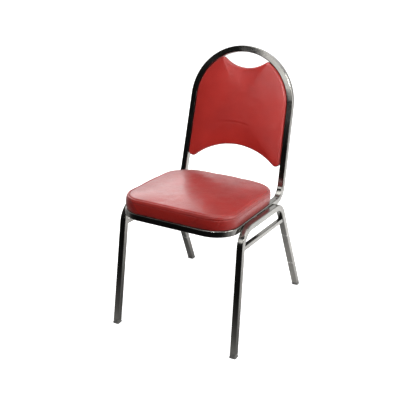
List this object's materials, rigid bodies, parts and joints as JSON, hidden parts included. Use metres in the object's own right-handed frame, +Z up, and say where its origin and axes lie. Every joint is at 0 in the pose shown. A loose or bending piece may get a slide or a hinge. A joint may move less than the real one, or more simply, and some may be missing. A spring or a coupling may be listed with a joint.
{
  "type": "stacking chair",
  "caption": "Stacking chair with a welded square-tube frame, a domed back tube with a hand-hold above its padded back, and a vinyl seat cushion.",
  "frame": {"origin": "on the floor, under the middle of the chair's bounding box", "axes": "+Z up, the sitter faces -Y; nodes named right are at +X, on the right of someone looking at the front of the chair"},
  "size_m": [0.4928, 0.5964, 0.9176],
  "materials": {
    "tube": "dark polished nickel",
    "zinc": "zinc plated",
    "vinyl": "red upholstery vinyl, lightly glossy",
    "foam": "cut foam",
    "plywood": "raw plywood",
    "cloth": "black lining cloth",
    "glide": "moulded grey"
  },
  "bodies": {
    "root": {"back_frame": "tube", "seat_frame": "tube", "leg_frame_left": "tube", "leg_frame_right": "tube", "stretcher_left": "tube", "stretcher_right": "tube", "rear_cross_rail": "tube", "seat_tab_front_left": "tube", "seat_tab_front_right": "tube", "seat_tab_rear_left": "tube", "seat_tab_rear_right": "tube", "back_tab_lower_left": "tube", "back_tab_lower_right": "tube", "back_tab_upper_left": "tube", "back_tab_upper_right": "tube", "splice_sleeve_left": "zinc", "splice_sleeve_right": "zinc", "seat_screw_front_left": "zinc", "seat_screw_front_right": "zinc", "seat_screw_rear_left": "zinc", "seat_screw_rear_right": "zinc", "seat_washer_front_left": "zinc", "seat_washer_front_right": "zinc", "seat_washer_rear_left": "zinc", "seat_washer_rear_right": "zinc", "back_screw_lower_left": "zinc", "back_screw_lower_right": "zinc", "back_screw_upper_left": "zinc", "back_screw_upper_right": "zinc", "seat_cover": "vinyl", "back_cover": "vinyl", "back_panel": "vinyl", "seat_foam": "foam", "back_foam": "foam", "seat_board": "plywood", "back_board": "plywood", "seat_dust_cover": "cloth", "glide_front_left": "glide", "glide_front_right": "glide", "glide_rear_left": "glide", "glide_rear_right": "glide", "back_panel_clip_lower_left": "glide", "back_panel_clip_lower_right": "glide", "back_panel_clip_upper_left": "glide", "back_panel_clip_upper_right": "glide"}
  },
  "joints": []
}
